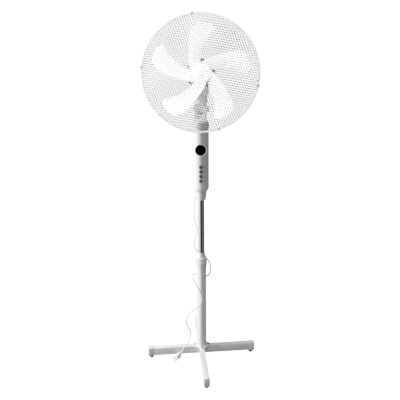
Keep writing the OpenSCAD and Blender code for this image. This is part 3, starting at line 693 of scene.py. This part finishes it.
# %% [markdown]
# ## Rotor
# The five blades are one moulding with the hub. Each is a swept, twisted sector: it takes
# up nearly the same angle from hub to tip, its tip corners are rounded, its leading edge
# stands forward, and its middle is slightly cupped. At the root it flares along the hub.
# The section thins to a rounded edge.
# The surface follows a rule, so it is computed as a fine grid of points.

# %% Blade shape
HUB_RADIUS = 0.040
BLADE_ROOT = HUB_RADIUS - 0.005
BLADE_RADIUS = 0.184
HUB_BACK, HUB_FRONT = -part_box("fan_blade")[1].y, -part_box("fan_blade")[0].y
BLADE_START, BLADE_SWEEP, BLADES = 108, 24, 5
BLADE_SPANS = (35, 29)
ROOT_FLARE = 40
TIP_CORNER = 14 * MM
BLADE_THICKNESS = 0.002


def on_shaft(x, y, forward):
    """A point given in the rotor's plane and forwards along the shaft."""
    return Vector((x, -forward, shaft_z + y))


def blade_point(s, t, side, start):
    """s runs from the hub to the tip, t across the blade, side is the half of the thickness."""
    radius = BLADE_ROOT + (BLADE_RADIUS - BLADE_ROOT) * s
    span = BLADE_SPANS[0] + (BLADE_SPANS[1] - BLADE_SPANS[0]) * s
    flare = ROOT_FLARE * (1 - t) * (1 - s) ** 6
    angle = math.radians(start - BLADE_SWEEP * s + (0.5 - t) * span + flare)
    reach = radius - TIP_CORNER * abs(2 * t - 1) ** 5 * s ** 6
    belly = 4 * MM * math.sin(math.pi * t) * (1 - 0.5 * s)
    edge = min(t, 1 - t) * math.radians(span) * radius
    thick = BLADE_THICKNESS / 2 * min(1, (edge / (1.5 * MM) + 0.02)) ** 0.5
    forward = 0.088 + (0.5 - t) * (26 - 12 * s) * MM + belly + side * thick
    return on_shaft(reach * math.cos(angle), reach * math.sin(angle), forward)


def blade(start, stations=44, across=20):
    """The points and faces of one blade: a flattened tube from hub to tip."""
    shares = [0.5 - 0.5 * math.cos(math.pi * k / across) for k in range(across + 1)]
    loop = [(t, 1) for t in shares] + [(t, -1) for t in reversed(shares)]
    points = [blade_point(i / stations, t, side, start) for i in range(stations + 1) for t, side in loop]
    return points, ring_faces(stations + 1, len(loop))


print("blade reaches", round(BLADE_RADIUS, 3), "m")

# %% Rotor as one moulding
def joined_parts(parts):
    """Several (points, faces) as one."""
    points, faces = [], []
    for more_points, more_faces in parts:
        faces += [tuple(i + len(points) for i in face) for face in more_faces]
        points += more_points
    return points, faces


def arc(centre, radius, start, end, steps):
    """Profile points on an arc, as (radius, distance), with angles in degrees."""
    angles = [math.radians(start + (end - start) * i / steps) for i in range(steps + 1)]
    return [(centre[0] + radius * math.cos(a), centre[1] + radius * math.sin(a)) for a in angles]


forwards = Vector((0, -1, 0))
shaft_origin = Vector((0, 0, shaft_z))
hub_wall = 2.5 * MM
hub_profile = [(4 * MM, HUB_BACK), (9 * MM, HUB_BACK), (9 * MM, HUB_FRONT - 4 * MM),
               (HUB_RADIUS - hub_wall - 3 * MM, HUB_FRONT - 6 * MM),
               (HUB_RADIUS - hub_wall, HUB_FRONT - 10 * MM),
               (HUB_RADIUS - hub_wall, HUB_BACK), (HUB_RADIUS, HUB_BACK)]
hub_profile += arc((HUB_RADIUS - 9 * MM, HUB_FRONT - 10 * MM), 9 * MM, 0, 78, 10)
hub_profile += [(12 * MM, HUB_FRONT - 0.3 * MM), (10.5 * MM, HUB_FRONT), (4 * MM, HUB_FRONT),
                (4 * MM, HUB_BACK)]
hub = turned(hub_profile, 96, forwards, shaft_origin)
rotor_parts = [hub] + [blade(BLADE_START + 360 * i / BLADES) for i in range(BLADES)]
rotor = mesh_piece("bladed_rotor", *joined_parts(rotor_parts), blade_white, 40)
place_on(rotor, "fan_blade")
print("rotor has", len(rotor.data.polygons), "faces")

# %% [markdown]
# ## Buttons
# Each button is a turned cap with a shallow dish for the fingertip and a rounded rim. A
# loop makes the four, and each rides on its own key so that it can be pressed.

# %% Buttons
for number in range(1, 5):
    low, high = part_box(f"button_{number}")
    radius = 7 * MM
    face = -low.y
    back = -high.y
    profile = [(0, back), (2.5 * MM, back), (2.5 * MM, back + 0.6 * MM), (radius + 1 * MM, back + 0.6 * MM),
               (radius + 1 * MM, back + 1.7 * MM), (radius, back + 1.7 * MM)]
    profile += arc((radius - 1.2 * MM, face - 1.4 * MM), 1.2 * MM, 0, 80, 6)
    profile += [(radius * s, face - (0.2 + 0.55 * (1 - s / 0.78) ** 0.7) * MM)
                for s in (0.78, 0.6, 0.4, 0.2)]
    profile += [(0, face - 0.78 * MM)]
    centre = Vector((0, 0, (low.z + high.z) / 2))
    cap = mesh_piece(f"button_cap_{number}", *turned(profile, 48, forwards, centre), button_grey, 50)
    place_on(cap, f"button_{number}")
print("four buttons, each", round(2 * radius / MM), "mm across")

# %% [markdown]
# ## Printed marks
# Small pad-printed marks stand to the right of the buttons, and a thin pale grey line is
# drawn round the panel. The marks are plain signs: a ring with a bar, one to three bars, an
# arc. The column's face is curved, so each stroke is drawn flat in millimetres and wrapped round it.

# %% Ink on the column
column_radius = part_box("column_front_shell")[1].x
STROKE_THICKNESS = 0.08 * MM


def stroke(path, width_mm, closed=False):
    """A flat thin strip, given as points in mm across and up the column, wrapped on its face."""
    count = len(path)
    points, faces = [], []
    for i, (x, z) in enumerate(path):
        before = path[i - 1] if i or closed else path[0]
        after = path[(i + 1) % count] if i < count - 1 or closed else path[-1]
        along = Vector((after[0] - before[0], after[1] - before[1])).normalized()
        aside = Vector((-along.y, along.x)) * width_mm / 2
        for lift, sign in ((1, 1), (1, -1), (-1, -1), (-1, 1)):
            radius = column_radius + lift * STROKE_THICKNESS
            angle = (x + sign * aside.x) * MM / column_radius
            points.append(Vector((radius * math.sin(angle), -radius * math.cos(angle),
                                  (z + sign * aside.y) * MM)))
    for i in range(count if closed else count - 1):
        for k in range(4):
            a, b = i * 4, (i + 1) % count * 4
            faces.append((a + k, a + (k + 1) % 4, b + (k + 1) % 4, b + k))
    if not closed:
        faces += [(0, 3, 2, 1), tuple((count - 1) * 4 + k for k in range(4))]
    return points, faces


def bow(x, z, radius, start, end, steps=14):
    """Points along an arc in the flat drawing, in mm."""
    angles = [math.radians(start + (end - start) * i / steps) for i in range(steps + 1)]
    return [(x + radius * math.cos(a), z + radius * math.sin(a)) for a in angles]


def level(x0, x1, z, steps=4):
    """Points along a level line in the flat drawing, in mm."""
    return [(x0 + (x1 - x0) * i / steps, z) for i in range(steps + 1)]


mark_x = 15.5
rows = [(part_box(f"button_{n}")[0].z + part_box(f"button_{n}")[1].z) / 2 / MM for n in range(1, 5)]
strokes = [
    # a ring with a bar, three growing bars, an arc over a bar, a ring round a bar
    stroke(bow(mark_x, rows[0], 2.3, 120, 420), 0.8),
    stroke([(mark_x, rows[0]), (mark_x, rows[0] + 3)], 0.8),
    *(stroke(level(mark_x - 3 + 2.2 * i, mark_x - 1.6 + 2.2 * i, rows[1]), 1.2 + 1.2 * i) for i in range(3)),
    stroke(bow(mark_x, rows[2] - 1.2, 3, 30, 150), 0.8),
    stroke(level(mark_x - 3, mark_x + 3, rows[2] - 1.4), 0.8),
    stroke(bow(mark_x, rows[3], 2.4, 0, 345, 20), 0.8, True),
    stroke(level(mark_x - 1.3, mark_x + 1.3, rows[3]), 0.8)]
strokes += [stroke(level(8.6, 10.8, z), 0.5) for z in rows]
marks = mesh_piece("button_marks", *joined_parts(strokes), ink, 40)
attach(marks, "mast")
print("printed marks:", len(strokes), "strokes")

# %% Panel outline
def rounded_outline(x0, x1, z0, z1, corner):
    """A rounded rectangle in the flat drawing, in mm, as one closed path."""
    path = []
    for x, z, start in ((x1 - corner, z1 - corner, 0), (x0 + corner, z1 - corner, 90),
                        (x0 + corner, z0 + corner, 180), (x1 - corner, z0 + corner, 270)):
        path += bow(x, z, corner, start, start + 90, 6)
    return path


# A thin pale grey line drawn round the panel, a little darker than the white column.
panel_line_grey = matt_plastic("pale_grey_panel_line", "#c9cbcc", "#c2c4c5", 0.6, 0.01, 0.5)
outline = stroke(rounded_outline(-13, 24, rows[3] - 11, rows[0] + 11, 5), 0.5, True)
panel_line = mesh_piece("panel_outline", *outline, panel_line_grey, 40)
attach(panel_line, "mast")
print("panel outline has", len(panel_line.data.polygons), "faces")

# %% [markdown]
# ## Finishes for the carried-over parts
# The other CAD parts already have their true shape, so they only take a finish. The list
# says which material each one gets.

# %% Dress the CAD nodes
dress = {
    powder_white: ["outer_tube", "motor_front_shield"],
    abs_white: ["guard_rim", "collar_sleeve", "height_ring", "column_lower_cone", "column_front_shell",
                "column_rear_shell", "display_bezel", "motor_rear_cover", "guard_nut", "blade_nut"],
    abs_grey: ["collet", "tube_end_bush", "run_capacitor", "swing_crank"],
    chrome: ["inner_tube"],
    zinc: ["flange_screws", "column_screws", "plug_blades", "tilt_bolt", "swivel_screw",
           "swing_link", "swing_motor"],
    cast_alloy: ["motor_foot", "motor_rear_shield"],
    core_steel: ["stator_core", "rotor_core"], copper: ["stator_windings"],
    bronze: ["front_bearing", "rear_bearing"], shaft_steel: ["motor_shaft"],
    window_black: ["display_window"], board_green: ["control_board"]}
for finish, names in dress.items():
    for name in names:
        nodes[name].data.materials.clear()
        nodes[name].data.materials.append(finish)
print("dressed", sum(len(names) for names in dress.values()), "CAD parts")

# %% The lead is done
print("lead built")

# %% [markdown]
# ## Floor and light
# The floor is a wide white sheet that glows, as a light table does, so that it melts into
# the white behind it. One tall soft light stands at the left, almost in line with the fan,
# so the left of every tube is bright and its right falls into shade. A weak one hangs
# above and another low in front. The rotor would be lost in that side light, so one more
# in front is linked to it alone, and gentler ones to the rim and the neck. Chrome shows
# what is round it, so curved screens that only reflections can see stand round the pole:
# white to the left, black and grey to the right.

# %% Floor and screens
def stage_sheet(name, points, faces, brightness, seen):
    """Part of the studio: a glowing sheet that only the named kinds of ray can see."""
    material, tree, place, shader = new_finish(name + "_sheet", "#000000", 1.0)
    shader.inputs["Emission Color"].default_value = (1, 1, 1, 1)
    shader.inputs["Emission Strength"].default_value = brightness
    shader.inputs["Specular IOR Level"].default_value = 0.0
    sheet = mesh_piece(name, points, faces, material)
    for kind in ("camera", "diffuse", "glossy", "shadow", "transmission", "volume_scatter"):
        setattr(sheet, "visible_" + kind, kind in seen)
    return sheet


def screen(name, start, end, brightness, radius=1.1, low=-0.02, high=2.2, steps=12):
    """An upright arc round the pole, from start to end degrees right of the camera."""
    angles = [math.radians(start + (end - start) * i / steps) for i in range(steps + 1)]
    points = [Vector((radius * math.sin(a), -radius * math.cos(a), z)) for a in angles for z in (low, high)]
    faces = [(2 * i, 2 * i + 2, 2 * i + 3, 2 * i + 1) for i in range(steps)]
    return stage_sheet(name, points, faces, brightness, ("glossy",))


FLOOR_HALF = 8
BACKGROUND_GLOW = 1.6
corners = [Vector((x * FLOOR_HALF, y * FLOOR_HALF, 0)) for x, y in ((-1, -1), (1, -1), (1, 1), (-1, 1))]
stage_sheet("floor", corners, [(0, 1, 2, 3)], BACKGROUND_GLOW, ("camera",))
for name, start, end, brightness in (("white_screen", -175, -32, 0.8), ("fading_screen", -32, -22, 0.3),
                                     ("black_screen", -22, 30, 0.006), ("grey_screen", 30, 58, 0.14),
                                     ("dark_screen", 58, 185, 0.05)):
    screen(name, start, end, brightness)
print("floor and screens set")

# %% Air and film
# The world is white to the eye and a dim grey to the fan. The film curve holds back the
# brightest whites, so that a white fan keeps its shape in front of a white background.
AIR_ON_FAN = 0.14
FILM_WHITE = 1.5
world = bpy.data.worlds.new("studio_air")
world.use_nodes = True
world.node_tree.nodes.clear()
rays = add(world.node_tree, "ShaderNodeLightPath").outputs
air = add(world.node_tree, "ShaderNodeMapRange",
          {"Value": rays["Is Camera Ray"], "To Min": AIR_ON_FAN, "To Max": BACKGROUND_GLOW})
glow = add(world.node_tree, "ShaderNodeBackground",
           {"Color": (1, 1, 1, 1), "Strength": air.outputs["Result"]})
add(world.node_tree, "ShaderNodeOutputWorld", {"Surface": glow.outputs[0]})
bpy.context.scene.world = world
film = bpy.context.scene.view_settings
film.use_curve_mapping = True
film.curve_mapping.white_level = (FILM_WHITE, FILM_WHITE, FILM_WHITE)
shoulder = film.curve_mapping.curves[3].points
for bright, shown in ((0.8, 0.8), (1.2, 0.93)):
    shoulder.new(bright / FILM_WHITE, shown)
film.curve_mapping.update()
print("film curve has", len(shoulder), "points")

# %% Lights
def soft_light(name, place, target, size, watts, only=()):
    """A rectangular soft light at a place, aimed at a target; only lists the pieces it reaches."""
    data = bpy.data.lights.new(name, "AREA")
    data.shape = "RECTANGLE"
    data.size, data.size_y = size
    data.energy = watts
    lamp = bpy.data.objects.new(name, data)
    bpy.context.collection.objects.link(lamp)
    aim = Vector(target) - Vector(place)
    lamp.matrix_world = Matrix.Translation(place) @ aim.to_track_quat("-Z", "Y").to_matrix().to_4x4()
    if only:
        reached = bpy.data.collections.new(name + "_reaches")
        for piece in only:
            reached.objects.link(piece)
        lamp.light_linking.receiver_collection = reached
    return lamp


soft_light("left_window", (-2.6, -0.27, 1.0), (0, 0, 0.8), (0.7, 2.6), 115)
soft_light("overhead", (-0.3, -0.5, 2.9), (0, 0, 0.9), (1.6, 1.6), 30)
low_fill = soft_light("low_fill", (0.35, -1.15, 0.15), (0, 0, 0.15), (0.5, 0.3), 0.55)
low_fill.visible_camera = low_fill.visible_glossy = False
rotor_parts_lit = [rotor] + [nodes[name] for name in ("motor_front_shield", "guard_nut", "blade_nut")]
neck_parts_lit = [soft_pieces[name] for name in ("tilt_yoke", "neck_bracket", "tilt_knob")]
neck_parts_lit.append(nodes["motor_rear_cover"])
soft_light("rotor_light", (-0.6, -2.4, 1.6), (0, -0.1, 1.17), (1.2, 1.2), 175, rotor_parts_lit)
soft_light("neck_light", (-0.2, -2.4, 1.4), (0, 0, 1.1), (1.2, 1.2), 65, neck_parts_lit)
soft_light("rim_light", (0.2, -2.4, 1.5), (0, 0, 1.1), (1.2, 1.2), 20, [nodes["guard_rim"]])
